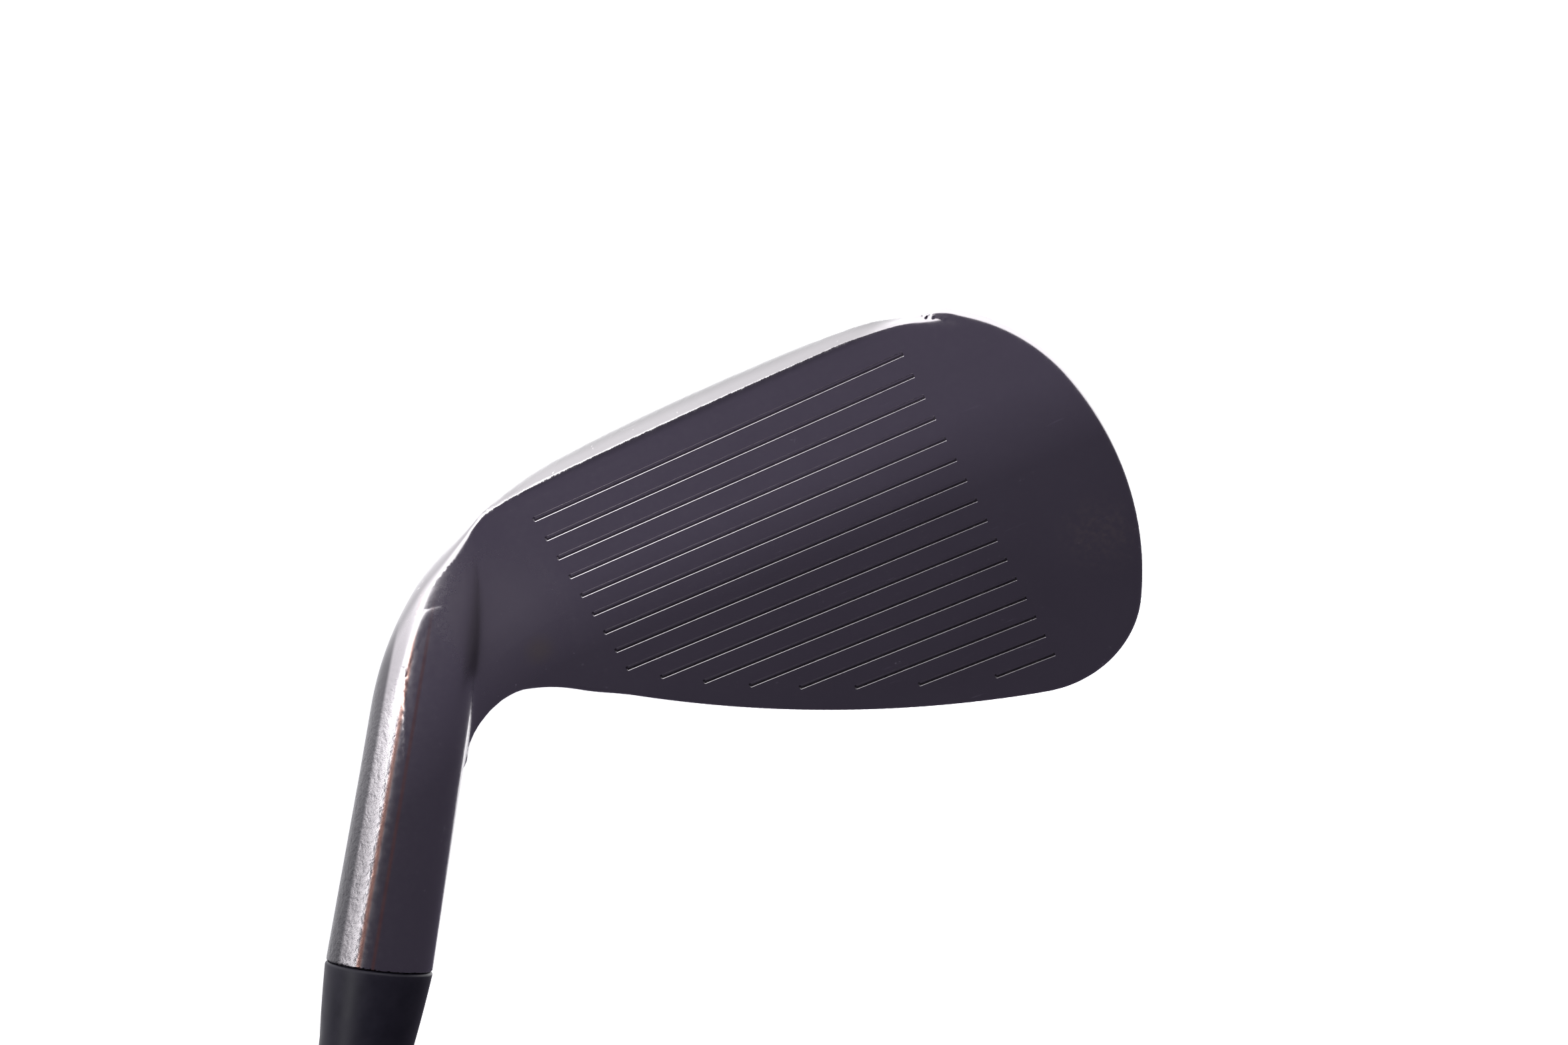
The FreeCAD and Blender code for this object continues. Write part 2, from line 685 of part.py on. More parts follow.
def make_grip():
    """The rubber sleeve on its tape, closed by a cap with a vent hole."""
    mouth_round = 1.0
    tape = turned(
        "grip_tape",
        [
            (S["shaft_butt_radius"], GRIP_MOUTH),
            (TAPE_RADIUS, GRIP_MOUTH),
            (TAPE_RADIUS, SHAFT_END),
            (S["shaft_butt_radius"], SHAFT_END),
        ],
    )
    sleeve = turned(
        "grip",
        [
            (TAPE_RADIUS, GRIP_MOUTH),
            (f"({S['grip_mouth_radius']} - {mouth_round})", GRIP_MOUTH),
            (S["grip_mouth_radius"], f"({GRIP_MOUTH} + {mouth_round})"),
            (S["grip_butt_radius"], f"({SHAFT_END} - 14)"),
            (S["cap_radius"], f"({SHAFT_END} - 4)"),
            (S["cap_radius"], SHAFT_END),
            (TAPE_RADIUS, SHAFT_END),
        ],
    )
    cap = turned(
        "grip_cap",
        [
            (S["vent_radius"], SHAFT_END),
            (S["cap_radius"], SHAFT_END),
            (S["cap_radius"], f"({S['club_length']} - {S['cap_round']})"),
            (f"({S['cap_radius']} - {S['cap_round']})", S["club_length"]),
            (S["vent_radius"], S["club_length"]),
        ],
    )
    return [tape, sleeve, cap]


def make_cavity_plates():
    """The tape on the cavity's floor and the badge that it holds."""
    tape_inset = f"({S['cavity_wall']} + {S['tape_gap']})"
    badge_inset = f"({S['cavity_wall']} + {S['badge_gap']})"
    tape = make_plate("badge_tape", tape_inset, S["face_thickness"], S["tape_thickness"])
    floor = f"({S['face_thickness']} + {S['tape_thickness']})"
    badge = make_plate("cavity_badge", badge_inset, floor, S["badge_thickness"])
    return [tape, badge]


def export(pieces):
    """Writes one file for each piece, once every object in the document is sound."""
    doc.recompute()
    for thing in doc.Objects:
        if "Invalid" in thing.State or "Error" in thing.State:
            raise RuntimeError(f"{thing.Name} failed")
    os.makedirs("parts", exist_ok=True)
    for piece in pieces:
        shape = piece.Shape
        if shape.isNull() or not shape.isValid():
            raise RuntimeError(f"{piece.Label} has no sound shape")
        solids = len(shape.Solids)
        box = shape.optimalBoundingBox(False)
        print(f"{piece.Label}: {solids} solid, {shape.Volume:.1f} mm3, {box}")
        shape.exportStep(f"parts/{piece.Label}.step")


export(make_head() + make_cavity_plates() + make_ferrule_and_bond() + make_shaft() + make_grip())
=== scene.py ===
"""Looks for an iron golf club: a smooth head, a turned ferrule, a stepped shaft and a moulded grip."""

import json
import math

import bmesh
import bpy
import numpy as np
from mathutils import Matrix, Vector
from mathutils.geometry import delaunay_2d_cdt


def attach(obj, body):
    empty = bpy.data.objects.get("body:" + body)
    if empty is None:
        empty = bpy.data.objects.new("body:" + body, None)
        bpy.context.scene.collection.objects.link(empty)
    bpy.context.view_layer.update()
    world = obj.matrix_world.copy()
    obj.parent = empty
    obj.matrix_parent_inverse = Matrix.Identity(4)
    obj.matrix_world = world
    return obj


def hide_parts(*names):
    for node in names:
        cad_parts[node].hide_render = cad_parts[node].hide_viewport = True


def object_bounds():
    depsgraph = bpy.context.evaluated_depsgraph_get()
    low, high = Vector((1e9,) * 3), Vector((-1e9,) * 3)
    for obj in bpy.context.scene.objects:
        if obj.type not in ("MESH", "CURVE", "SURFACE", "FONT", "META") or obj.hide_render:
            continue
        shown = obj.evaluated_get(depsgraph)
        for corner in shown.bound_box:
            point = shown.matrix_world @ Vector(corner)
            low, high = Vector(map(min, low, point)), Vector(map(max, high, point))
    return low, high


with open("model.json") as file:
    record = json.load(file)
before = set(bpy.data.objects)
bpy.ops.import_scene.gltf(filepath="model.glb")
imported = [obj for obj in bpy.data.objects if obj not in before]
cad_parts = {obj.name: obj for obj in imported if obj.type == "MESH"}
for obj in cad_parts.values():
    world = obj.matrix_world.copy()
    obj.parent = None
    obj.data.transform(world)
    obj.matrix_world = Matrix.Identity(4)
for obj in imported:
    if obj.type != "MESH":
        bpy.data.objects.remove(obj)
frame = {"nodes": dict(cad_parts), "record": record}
first_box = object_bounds()
MM = 0.001

# The face frame: x towards the heel, y up the face and z out of it, in millimetres.
# The shaft frame: s along the axis from the ground, r out from it.
MOUNTS = {m["name"]: m for m in frame["record"]["mounts"]}
NORMAL = np.array(MOUNTS["face"]["axis"], float)
RIGHT = np.array((1.0, 0.0, 0.0))
UP = np.cross(NORMAL, RIGHT)
GROOVE_FIRST, GROOVE_PITCH, GROOVES = 4.28, 3.15, 16
FACE_MOUNT = GROOVE_FIRST + (GROOVES - 1) / 2 * GROOVE_PITCH
FACE_FOOT = np.array(MOUNTS["face"]["pos_m"], float) / MM - FACE_MOUNT * UP
AXIS = np.array(MOUNTS["grip"]["axis"], float)
GRIP_MOUNT = 775.0
AXIS_FOOT = np.array(MOUNTS["grip"]["pos_m"], float) / MM - GRIP_MOUNT * AXIS
TURN = np.stack((RIGHT, UP, NORMAL))
AXIS_IN_FACE = TURN @ AXIS
FOOT_IN_FACE = TURN @ (AXIS_FOOT - FACE_FOOT)
VIEW_AHEAD = np.array((0.264, 0.913, -0.312))
VIEW_IN_FACE = TURN @ VIEW_AHEAD

# Head sizes. A circle is (centre, radius) in the face frame.
TOE_SIDE = (np.array((2.3, 27.5)), 48.0)
TOPLINE = (np.array((-58.5, -92.4)), 153.35)
TOE_TOP, TOE_LOW = 14.9, 23.0
FLAT_END = 32.2
# The sole: its radius front to back, its lowest point, and its radii towards heel, toe and hosel.
SOLE_RADIUS = 32.0
SOLE_LOWEST, SOLE_TO_HEEL, SOLE_TO_TOE, HEEL_CURVE = 4.0, 283.0, 430.0, 45.0
# The bevel behind the leading edge: a point on it, its lean, and how much more it leans at the toe.
BEVEL_FRONT, BEVEL_UP, BEVEL_LEAN, TOE_LEAN = 9.32, 4.16, 14.4, 45.0
HEEL_START, HEEL_SPAN = 28.0, 17.0
LEADING_EDGE = 0.38
HOSEL_TOP, HOSEL_LOW = 62.0, 38.0
HOSEL_TOP_RADIUS, HOSEL_LOW_RADIUS = 6.85, 6.62
BORE_RADIUS, BORE_FOOT = 4.82, 27.0
# Where the hosel's axis passes at a height y up the face: x and z there, and what each gains with y.
AXIS_X, AXIS_X_GAIN, AXIS_Z, AXIS_Z_GAIN = 38.28, 0.6538, -5.0, 0.857
# The back: how deep its rim is and where that ends, then the muscle's slope as (y, depth) at each end.
RIM_DEPTH, RIM_FOOT, MUSCLE_TOP, SOLE_BACK = 6.4, 27.5, (24.0, 9.0), (10.7, 16.6)
CAVITY_WALL, CAVITY_FOOT, CAVITY_HEEL, FACE_THICKNESS = 5.0, 19.5, 28.5, 3.0
PLUG, PLUG_RADIUS, PLUG_DEPTH = (-25.0, 15.0), 3.62, 8.0
GROOVE_HALF, GROOVE_DEPTH, GROOVE_TOE, GROOVE_REACH = 0.38, 0.36, -27.15, 149.8

# Sizes on the shaft's axis.
FERRULE_RADIUS, FERRULE_BULGE, FERRULE_LENGTH = 6.9, 9.5, 23.9
SHAFT_FOOT, SHAFT_TOP, SHAFT_TIP_RADIUS, SHAFT_BUTT_RADIUS = 28.0, 904.5, 4.7, 7.62
STEP_FIRST, STEP_PITCH, STEPS, STEP_RUN = 268.0, 34.0, 11, 1.2
BAND_FOOT, BAND_TOP = 615.5, 637.5
GRIP_MOUTH, GRIP_MOUTH_RADIUS, GRIP_ROUND = 641.5, 9.6, 0.9
GRIP_END_RADIUS, TAPE_RADIUS = 14.89, 7.87
CAP_TOP = 908.5


# ---------------------------------------------------------------- solid fields
# A field is (distance, outward direction) at each point; inside is negative.

def unit(v):
    return v / np.maximum(np.linalg.norm(v, axis=1), 1e-9)[:, None]


def half_space(p, point, direction):
    direction = np.array(direction, float)
    direction /= np.linalg.norm(direction)
    return (p - np.array(point, float)) @ direction, np.broadcast_to(direction, p.shape)


def pick(test, a, b):
    """Field a where the test holds and field b elsewhere."""
    return np.where(test, a[0], b[0]), np.where(test[:, None], a[1], b[1])


def both(a, b, radius=0.0):
    """The solid inside a and b, with the edge between them rounded."""
    c = np.clip(np.sum(a[1] * b[1], axis=1), -0.999, 0.999999)
    up_a, up_b = a[0] + radius, b[0] + radius
    share_a = (up_a - c * up_b) / (1 - c * c)
    share_b = (up_b - c * up_a) / (1 - c * c)
    corner = (share_a > 0) & (share_b > 0)
    away = share_a[:, None] * a[1] + share_b[:, None] * b[1]
    length = np.maximum(np.linalg.norm(away, axis=1), 1e-9)
    flat = pick(a[0] > b[0], a, b)
    return pick(corner, (length - radius, away / length[:, None]), flat)


def without(a):
    return -a[0], -a[1]


def either(a, b, radius=0.0):
    """The solid inside a or b, with the corner between them filled by a fillet."""
    return without(both(without(a), without(b), radius))


def disc(p, centre, radius):
    """A cylinder square to the face."""
    away = p[:, :2] - np.array(centre, float)
    length = np.maximum(np.linalg.norm(away, axis=1), 1e-9)
    direction = np.zeros_like(p)
    direction[:, :2] = away / length[:, None]
    return length - radius, direction


def rounded_discs(p, first, second, radius):
    """Where two discs overlap in x and y, with the corner on the toe's side rounded exactly."""
    (c1, r1), (c2, r2) = first, second
    r1, r2 = r1 - radius, r2 - radius
    span = c2 - c1
    gap = np.linalg.norm(span)
    forward = (gap**2 + r1**2 - r2**2) / (2 * gap)
    off = math.sqrt(r1**2 - forward**2)
    across = np.array((-span[1], span[0])) / gap
    corners = [c1 + span * forward / gap + s * off * across for s in (-1, 1)]
    corner = min(corners, key=lambda q: q[0])
    n1, n2 = (corner - c1) / r1, (corner - c2) / r2
    a, b = disc(p, c1, r1 + radius), disc(p, c2, r2 + radius)
    away = p[:, :2] - corner
    turn = n1[0] * n2[1] - n1[1] * n2[0]
    share1 = (away[:, 0] * n2[1] - away[:, 1] * n2[0]) / turn
    share2 = (n1[0] * away[:, 1] - n1[1] * away[:, 0]) / turn
    inside = (share1 > 0) & (share2 > 0)
    return pick(inside, disc(p, corner, radius), pick(a[0] > b[0], a, b))


def ease(t):
    t = np.clip(t, 0, 1)
    return t * t * (3 - 2 * t)


def heel_share(x):
    """Nought on the blade and one where the heel has become the hosel."""
    return ease((x - HEEL_START) / HEEL_SPAN)


def hosel_rod(p):
    """Each point's place on the hosel's axis, distance from it, direction out, and the rod's radius."""
    rel = p - FOOT_IN_FACE
    s = rel @ AXIS_IN_FACE
    away = rel - s[:, None] * AXIS_IN_FACE
    radial = np.maximum(np.linalg.norm(away, axis=1), 1e-9)
    grow = np.clip((s - HOSEL_LOW) / (HOSEL_TOP - HOSEL_LOW), 0, None)
    radius = HOSEL_LOW_RADIUS + (HOSEL_TOP_RADIUS - HOSEL_LOW_RADIUS) * grow
    return s, radial, away / radial[:, None], radius


def outline(p):
    """The blade seen square to its face. The lower edge is a circle so large that it is straight."""
    flat = 1e5
    ground = (np.array((0.0, flat - 2.1)), flat)
    upper = rounded_discs(p, TOE_SIDE, TOPLINE, TOE_TOP)
    lower = rounded_discs(p, TOE_SIDE, ground, TOE_LOW)
    return both(upper, lower)


def above_ground(p):
    """The sole: rounded front to back and heel to toe, then turning into the hosel's round side."""
    world = p @ TURN + FACE_FOOT
    camber = np.where(world[:, 0] > SOLE_LOWEST, SOLE_TO_HEEL, SOLE_TO_TOE)
    run = world[:, 0] - SOLE_LOWEST
    up = world[:, 2] - camber
    reach = np.sqrt(run**2 + up**2)
    flat = np.stack((run / reach, np.zeros_like(run), up / reach), axis=1)
    line = (reach - camber, flat)
    side = half_space(world, AXIS_FOOT, (AXIS[2], 0, -AXIS[0]))
    gap = 0.35
    side = (side[0] - HOSEL_LOW_RADIUS - gap, side[1])
    curve = both(line, side, HEEL_CURVE)
    grown = heel_share(world[:, 0])
    radius = 1 / (1 / SOLE_RADIUS + (1 / HOSEL_LOW_RADIUS - 1 / SOLE_RADIUS) * grown)
    height = -curve[0] - radius - gap * grown
    lift = np.minimum(height, 0)
    across = world[:, 1] - AXIS_FOOT[1] * grown
    across = np.sign(across) * np.maximum(np.abs(across) - 0.8 * np.maximum(height, 0), 0)
    reach = np.maximum(np.sqrt(across**2 + lift**2), 1e-9)
    away = curve[1] * (-lift / reach)[:, None]
    away[:, 1] += across / reach
    sole = (reach - radius, away)
    # The bevel behind the leading edge leans back further round the toe.
    lean = np.radians(BEVEL_LEAN + TOE_LEAN * ease((-world[:, 0] - 19) / 14))
    bevel_n = curve[1] * np.sin(lean)[:, None]
    bevel_n[:, 1] -= np.cos(lean)
    bevel = -(world[:, 1] + BEVEL_FRONT) * np.cos(lean) - (-curve[0] - BEVEL_UP) * np.sin(lean)
    under = both(sole, (bevel - 2.03 * grown, bevel_n), 3.4 + 3.2 * grown)
    return under[0], under[1] @ TURN.T


def head(p):
    """The whole head but its slots: blade, sole, hosel, cavity, bore and the weight's hole."""
    x, y, z = p.T
    s, radial, radial_n, radius = hosel_rod(p)
    rod = (radial - radius, radial_n)
    under = above_ground(p)
    edge = outline(p)

    # Low on the toe the wall leans in behind the face.
    draft = (0.6 + 0.7 * ease((18 - y) / 14)) * ease((-x - 8) / 18) * ease((44 - y) / 22)
    lean = np.sqrt(1 + draft**2)
    leaning = (edge[1] + draft[:, None] * np.array((0.0, 0.0, -1.0))) / lean[:, None]
    edge = pick(z < -1.3, ((edge[0] + draft * (-z - 1.3)) / lean, leaning), edge)

    # The front: flat, then one concave sweep into the hosel, tighter towards the sole.
    sweep = np.clip(6.0 + 0.36 * (y - 4.5), 6.0, 11.0)
    front = either(half_space(p, (0, 0, 0), (0, 0, 1)), rod, sweep)

    # The top of the heel: the topline's curve runs into the hosel's side.
    side = half_space(p, FOOT_IN_FACE, np.cross(AXIS_IN_FACE, VIEW_IN_FACE))
    side = (side[0] - HOSEL_LOW_RADIUS + 0.1, side[1])
    crotch = either((edge[0] - 0.7 * ease((x - 28) / 8), edge[1]), side, 5.0)
    rim = 0.9 + 0.6 * ease((-20 - x) / 20) + 0.8 * ease((x - 33) / 8)
    blade = both(front, crotch, rim)

    # The back: a rim, the muscle's slope, and both rising into the hosel along the axis's line.
    plate = half_space(p, (0, 0, -RIM_DEPTH), (0, 0, -1))
    (top_y, top_d), (low_y, low_d) = MUSCLE_TOP, SOLE_BACK
    shelf = half_space(p, (0, RIM_FOOT, -RIM_DEPTH), (0, top_d - RIM_DEPTH, -(RIM_FOOT - top_y)))
    slope = half_space(p, (0, top_y, -top_d), (0, low_d - top_d, -(top_y - low_y)))
    muscle = both(shelf, slope, 1.5)
    taper = half_space(p, (22, 0, -17.0), (9.5, 0, -16))
    back = both(either(plate, muscle, 2.0), taper, 8.0)
    axis_x = AXIS_X + AXIS_X_GAIN * y
    axis_z = AXIS_Z + AXIS_Z_GAIN * y
    run = np.clip((x - 27) / np.maximum(axis_x - 27, 4), 0, 2)
    lift = (axis_z + 3.5) * run**3
    back = (back[0] + np.where(y > -3, lift, 0) * ease((y - 2) / 10), back[1])
    blade = both(blade, back, 1.5)
    top = (s - HOSEL_TOP, np.broadcast_to(AXIS_IN_FACE, p.shape))
    blade = (blade[0] + 4 * ease((s - 35) / 7) + np.where(s > 42, s - 42, 0), blade[1])

    # The leading edge is crisp on the blade and opens out into the hosel's round side.
    opening = (HOSEL_LOW_RADIUS - LEADING_EDGE) * ease((x - 32.5) / 13)
    crisp = LEADING_EDGE + opening + 2.5 * ease((-26 - x) / 10)
    blade = both(blade, under, crisp)
    rod = both(pick(s < HOSEL_LOW - 8, both(rod, under, crisp), rod), top, 0.35)
    solid = either(blade, rod, 3.0)

    # The cavity, the bore and the hole for the toe weight.
    heel = (x - CAVITY_HEEL, np.broadcast_to((1.0, 0.0, 0.0), p.shape))
    foot = (CAVITY_FOOT - y, np.broadcast_to((0.0, -1.0, 0.0), p.shape))
    hollow = both(both((edge[0] + CAVITY_WALL, edge[1]), foot, 5.0), heel, 5.0)
    hollow = both(hollow, half_space(p, (0, 0, -FACE_THICKNESS), (0, 0, 1)), 1.2)
    solid = both(solid, without(hollow), 0.7)
    foot = (BORE_FOOT - s, np.broadcast_to(-AXIS_IN_FACE, p.shape))
    bore = both((radial - BORE_RADIUS, radial_n), foot)
    solid = both(solid, without(bore), 0.25)
    hole = disc(p, PLUG, PLUG_RADIUS)
    hole = both(hole, half_space(p, (0, 0, -PLUG_DEPTH), (0, 0, 1)))
    return both(solid, without(hole), 0.2)


def head_in_parts(p, chunk=200000):
    parts = [head(p[i : i + chunk]) for i in range(0, len(p), chunk)]
    return np.concatenate([a for a, _ in parts]), np.concatenate([b for _, b in parts])


def distance(p):
    return head_in_parts(p)[0]


def gradient(p, reach=0.02):
    """The surface's direction, from the change in distance on either side of each point."""
    parts = []
    for axis in range(3):
        step = np.zeros(3)
        step[axis] = reach
        parts.append(distance(p + step) - distance(p - step))
    return unit(np.stack(parts, axis=1))


CUBE_CORNERS = [(i, j, k) for i in (0, 1) for j in (0, 1) for k in (0, 1)]


def net(low, high, step):
    """A quad net on the surface of head(), by surface nets and then Newton's steps."""
    block = 4
    count = [int(math.ceil((h - l) / (step * block))) for l, h in zip(low, high)]
    low = np.array(low, float)
    # A block of cells is looked at closely where the surface may pass through it.
    middle = [(np.arange(n) + 0.5) * block * step - 0.5 * step for n in count]
    centres = np.stack(np.meshgrid(*middle, indexing="ij"), axis=-1).reshape(-1, 3) + low
    rough = distance(centres).astype(np.float32)
    near = np.abs(rough) < step * block * 0.87 + 1.8 * step
    grid = np.repeat(rough.reshape(count), block, axis=0)
    grid = np.repeat(np.repeat(grid, block, axis=1), block, axis=2)
    cells = np.stack(np.unravel_index(np.nonzero(near)[0], count), axis=1) * block
    inner = np.stack(np.meshgrid(*[np.arange(block)] * 3, indexing="ij"), axis=-1).reshape(-1, 3)
    index = (cells[:, None, :] + inner[None, :, :]).reshape(-1, 3)
    grid[tuple(index.T)] = distance(index * step + low)

    # A cell with corners inside and outside gets a point, the mean of its edges' crossings.
    solid = grid < 0
    shape = np.array(grid.shape) - 1
    total = np.zeros(shape, np.int8)
    for corner in CUBE_CORNERS:
        total += solid[tuple(slice(c, c + n) for c, n in zip(corner, shape))]
    mixed = np.stack(np.nonzero((total > 0) & (total < 8)), axis=1)
    crossings = np.zeros((len(mixed), 3))
    weight = np.zeros(len(mixed))
    for corner in CUBE_CORNERS:
        for axis in range(3):
            if corner[axis]:
                continue
            other = list(corner)
            other[axis] = 1
            a = grid[tuple((mixed + corner).T)]
            b = grid[tuple((mixed + other).T)]
            cross = (a < 0) != (b < 0)
            t = np.where(cross, a / np.where(cross, a - b, 1), 0)
            point = mixed + np.array(corner, float)
            point[:, axis] += t
            crossings += point * cross[:, None]
            weight += cross
    points = crossings / weight[:, None] * step + low
    # An edge that crosses the surface gets a quad between the four cells round it.
    ids = np.full(shape, -1, np.int64)
    ids[tuple(mixed.T)] = np.arange(len(mixed))
    quads = []
    for axis in range(3):
        u, v = (axis + 1) % 3, (axis + 2) % 3
        a, b = [slice(None)] * 3, [slice(None)] * 3
        a[axis], b[axis] = slice(0, -1), slice(1, None)
        start, end = solid[tuple(a)], solid[tuple(b)]
        edges = np.stack(np.nonzero(start != end), axis=1)
        edges = edges[(edges[:, u] > 0) & (edges[:, v] > 0)]
        edges = edges[(edges < shape).all(axis=1)]
        ring = []
        for du, dv in ((0, 0), (-1, 0), (-1, -1), (0, -1)):
            cell = edges.copy()
            cell[:, u] += du
            cell[:, v] += dv
            ring.append(ids[tuple(cell.T)])
        quad = np.stack(ring, axis=1)
        flip = start[tuple(edges.T)]
        quads.append(np.where(flip[:, None], quad, quad[:, ::-1]))
    quads = np.concatenate(quads)
    quads = quads[(quads >= 0).all(axis=1)]
    for _ in range(5):
        away, direction = head_in_parts(points)
        points = points - np.clip(away, -step, step)[:, None] * unit(direction)
    return points, quads


def to_world(points):
    return (points @ TURN + FACE_FOOT) * MM


def make_mesh(name, points, faces, loop_normals=None):
    """A smooth-shaded object from points in metres, with its own normals if they are given."""
    mesh = bpy.data.meshes.new(name)
    mesh.from_pydata([tuple(q) for q in points], [], [tuple(int(i) for i in f) for f in faces])
    mesh.validate()
    mesh.polygons.foreach_set("use_smooth", [True] * len(mesh.polygons))
    if loop_normals is not None:
        mesh.normals_split_custom_set([tuple(n) for n in loop_normals])
    mesh.update()
    piece = bpy.data.objects.new(name, mesh)
    bpy.context.scene.collection.objects.link(piece)
    return piece


def finished(piece, sharp):
    """Joins doubled points, turns the faces outward and keeps edges past an angle sharp."""
    bm = bmesh.new()
    bm.from_mesh(piece.data)
    bmesh.ops.remove_doubles(bm, verts=bm.verts, dist=1e-7)
    bmesh.ops.recalc_face_normals(bm, faces=bm.faces)
    for e in bm.edges:
        e.smooth = len(e.link_faces) != 2 or e.calc_face_angle(0) < math.radians(sharp)
    bm.to_mesh(piece.data)
    bm.free()
    return piece


def ring_faces(rows, segments, closed):
    """Quads between neighbouring rings of points, each ring a closed loop."""
    faces = []
    for i in range(rows if closed else rows - 1):
        a, b = i * segments, (i + 1) % rows * segments
        for k in range(segments):
            m = (k + 1) % segments
            faces.append((a + k, a + m, b + m, b + k))
    return faces


# ---------------------------------------------------------------- the face's grooves

def groove_ring(left, right, y, inset):
    """A slot's outline with rounded corners, drawn in by inset."""
    corner = 0.22
    half = GROOVE_HALF - inset
    bend = max(corner - inset * 0.5, 0.05)
    ring = []
    for cx, cy, start in (
        (right - inset - bend, y + half - bend, 0),
        (left + inset + bend, y + half - bend, 90),
        (left + inset + bend, y - half + bend, 180),
        (right - inset - bend, y - half + bend, 270),
    ):
        for step in range(5):
            turn = math.radians(start + 22.5 * step)
            away = (math.cos(turn), math.sin(turn))
            ring.append((cx + bend * away[0], cy + bend * away[1], away[0], away[1]))
    return ring


def add_grooves(points, faces, normals):
    """Each slot: a small round edge, slanted walls and a flat floor. Gives back the slots' rims."""
    edge, slant = 0.10, math.radians(30)
    sections = []
    for step in range(5):
        turn = (math.pi / 2 - slant) * step / 4
        sections.append((edge * math.sin(turn), edge * (1 - math.cos(turn)), turn))
    wall_top = sections[-1]
    deep = GROOVE_DEPTH - wall_top[1]
    sections.append((wall_top[0] + deep * math.tan(slant), GROOVE_DEPTH, wall_top[2]))
    rims = []
    for number in range(GROOVES):
        y = GROOVE_FIRST + GROOVE_PITCH * number
        # The upper slots stop short of the topline, on a circle round the same centre.
        reach = GROOVE_REACH**2 - (y + GROOVE_HALF - TOPLINE[0][1]) ** 2
        right = min(-GROOVE_TOE, TOPLINE[0][0] + math.sqrt(reach))
        if right < GROOVE_TOE + 2:
            continue
        previous = None
        for inset, depth, turn in sections:
            ring = groove_ring(GROOVE_TOE, right, y, inset)
            base = len(points)
            points.extend((qx, qy, -depth) for qx, qy, _, _ in ring)
            tilt = [(-ax * math.sin(turn), -ay * math.sin(turn), math.cos(turn)) for _, _, ax, ay in ring]
            if previous is not None:
                old, old_tilt = previous
                for i in range(len(ring)):
                    j = (i + 1) % len(ring)
                    faces.append((old + i, old + j, base + j, base + i))
                    normals.extend((old_tilt[i], old_tilt[j], tilt[j], tilt[i]))
            else:
                rims.append(list(range(base, base + len(ring))))
            previous = (base, tilt)
        floor = list(range(previous[0], previous[0] + len(ring)))
        faces.append(tuple(floor))
        normals.extend([(0, 0, 1)] * len(floor))
    return rims


# The box the net is laid in, its cells, and how far in from the outline the flat face is refilled.
HEAD_LOW, HEAD_HIGH, NET_STEP = (-47.0, -5.2, -20.5), (73.5, 58.4, 38.5), 0.4
FLAT_MARGIN = 2.6


def make_head():
    """The head's net, with its flat face cut out and filled again round the slots."""
    points, quads = net(HEAD_LOW, HEAD_HIGH, NET_STEP)
    normals = gradient(points)
    centres = points[quads].mean(axis=1)
    edge = outline(centres)[0]
    front = normals[quads][:, :, 2].min(axis=1)
    flat = (edge < -FLAT_MARGIN) & (centres[:, 0] < FLAT_END - 0.8) & (centres[:, 1] > FLAT_MARGIN)
    flat &= (np.abs(centres[:, 2]) < 0.05) & (front > 0.99)
    kept, gone = quads[~flat], quads[flat]
    sides = dict.fromkeys((int(q[i]), int(q[(i + 1) % 4])) for q in gone for i in range(4))
    loop_edges = [(a, b) for a, b in sides if (b, a) not in sides]
    ring = sorted({a for a, _ in loop_edges} | {b for _, b in loop_edges})
    points[ring, 2] = 0.0
    normals[ring] = (0, 0, 1)

    used = np.unique(kept)
    number = {int(old): new for new, old in enumerate(used)}
    all_points = [tuple(points[i]) for i in used]
    faces = [tuple(number[int(i)] for i in quad) for quad in kept]
    loops = [tuple(normals[int(i)]) for quad in kept for i in quad]
    rims = add_grooves(all_points, faces, loops)

    ring_ids = [number[i] for i in ring]
    flat_ids = ring_ids + [i for rim in rims for i in rim]
    local = {g: i for i, g in enumerate(flat_ids)}
    verts = [Vector(all_points[g][:2]) for g in flat_ids]
    lines = [(local[number[a]], local[number[b]]) for a, b in loop_edges]
    for rim in rims:
        lines += [(local[rim[i]], local[rim[(i + 1) % len(rim)]]) for i in range(len(rim))]
    spots, _, triangles, source, _, _ = delaunay_2d_cdt(verts, lines, [], 1, 1e-6)
    back = {}
    for i, old in enumerate(source):
        if old:
            back[i] = flat_ids[old[0]]
        else:
            all_points.append((spots[i].x, spots[i].y, 0.0))
            back[i] = len(all_points) - 1
    for tri in triangles:
        cx = sum(spots[i].x for i in tri) / 3
        cy = sum(spots[i].y for i in tri) / 3
        row = round((cy - GROOVE_FIRST) / GROOVE_PITCH)
        middle = GROOVE_FIRST + row * GROOVE_PITCH
        corners = {back[i] for i in tri}
        if any(corners <= set(rim) for rim in rims if abs(cy - middle) < GROOVE_HALF):
            continue
        faces.append(tuple(back[i] for i in tri))
        loops.extend([(0, 0, 1)] * 3)
    return make_mesh("iron_head", to_world(np.array(all_points)), faces, np.array(loops) @ TURN)


# ---------------------------------------------------------------- turned pieces

def on_axis(s, r, turn):
    """The place at s along the shaft's axis, r out from it and at a turn round it, in metres."""
    across = np.array((0.0, 1.0, 0.0))
    third = np.cross(AXIS, across)
    return (AXIS_FOOT + s * AXIS + r * (math.cos(turn) * across + math.sin(turn) * third)) * MM


def turned(name, profile, segments=96):
    """A solid of revolution round the shaft's axis; profile is a closed loop of (along, out)."""
    turns = [2 * math.pi * k / segments for k in range(segments)]
    points = [on_axis(s, r, turn) for s, r in profile for turn in turns]
    return finished(make_mesh(name, points, ring_faces(len(profile), segments, True)), 28)


